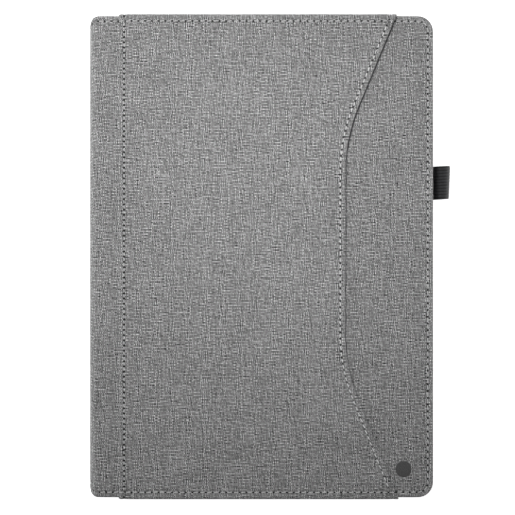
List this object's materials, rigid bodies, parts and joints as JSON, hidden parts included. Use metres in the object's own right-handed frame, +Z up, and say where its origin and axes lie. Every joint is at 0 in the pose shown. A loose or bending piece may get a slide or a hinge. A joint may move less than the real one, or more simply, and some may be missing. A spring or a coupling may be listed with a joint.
{
  "type": "tablet case",
  "caption": "Folio case for a 9 to 11 inch tablet: two padded fabric covers on a soft-fold spine, a document pocket, tablet panel with elastic corners, card slots and a pen loop.",
  "frame": {"origin": "middle of the closed case's underside, on the back cover's outer face; the pen loop is not counted", "axes": "+X from the spine to the free edge, +Y along the spine towards the pen loop's end, +Z up through the front cover"},
  "size_m": [0.2011, 0.2696, 0.0194],
  "materials": {
    "woven_fabric": "grey heathered plain weave",
    "pocket_fabric": "grey heathered plain weave",
    "lining": "dark grey brushed microfibre",
    "foam": "thin closed-cell foam sheet",
    "board": "grey pressed board",
    "thread": "twisted polyester sewing thread",
    "elastic": "black ribbed elastic tape",
    "print": "matt dark grey transfer print"
  },
  "bodies": {
    "back_cover": {"back_fabric": "woven_fabric", "back_foam": "foam", "back_board": "board", "back_lining": "lining", "back_seam_thread": "thread", "tablet_panel_board": "board", "tablet_panel_cover": "lining", "tablet_panel_thread": "thread", "strap_upper_left": "elastic", "strap_upper_right": "elastic", "strap_lower_left": "elastic", "strap_lower_right": "elastic", "pen_loop": "elastic"},
    "spine": {"spine_fabric": "woven_fabric", "spine_board": "board", "spine_lining": "lining", "back_fold": "woven_fabric", "front_fold": "woven_fabric"},
    "front_cover": {"front_fabric": "woven_fabric", "front_foam": "foam", "front_board": "board", "front_lining": "lining", "front_seam_thread": "thread", "pocket_panel": "pocket_fabric", "pocket_lining": "lining", "pocket_side_thread": "thread", "pocket_edge_thread": "thread", "pocket_end_thread": "thread", "badge": "print", "slip_pocket": "lining", "card_slot_upper": "lining", "card_slot_middle": "lining", "card_slot_lower": "lining"}
  },
  "joints": [
    {"name": "back_hinge", "type": "hinge", "parent": "back_cover", "child": "spine", "pos_m": [-0.09372, 0, 0.00178], "axis": [0, -1, 0], "range_deg": [0, 85], "deforming": ["back_fold"]},
    {"name": "front_hinge", "type": "hinge", "parent": "spine", "child": "front_cover", "pos_m": [-0.09372, 0, 0.01642], "axis": [0, -1, 0], "range_deg": [0, 95], "deforming": ["front_fold"]}
  ]
}
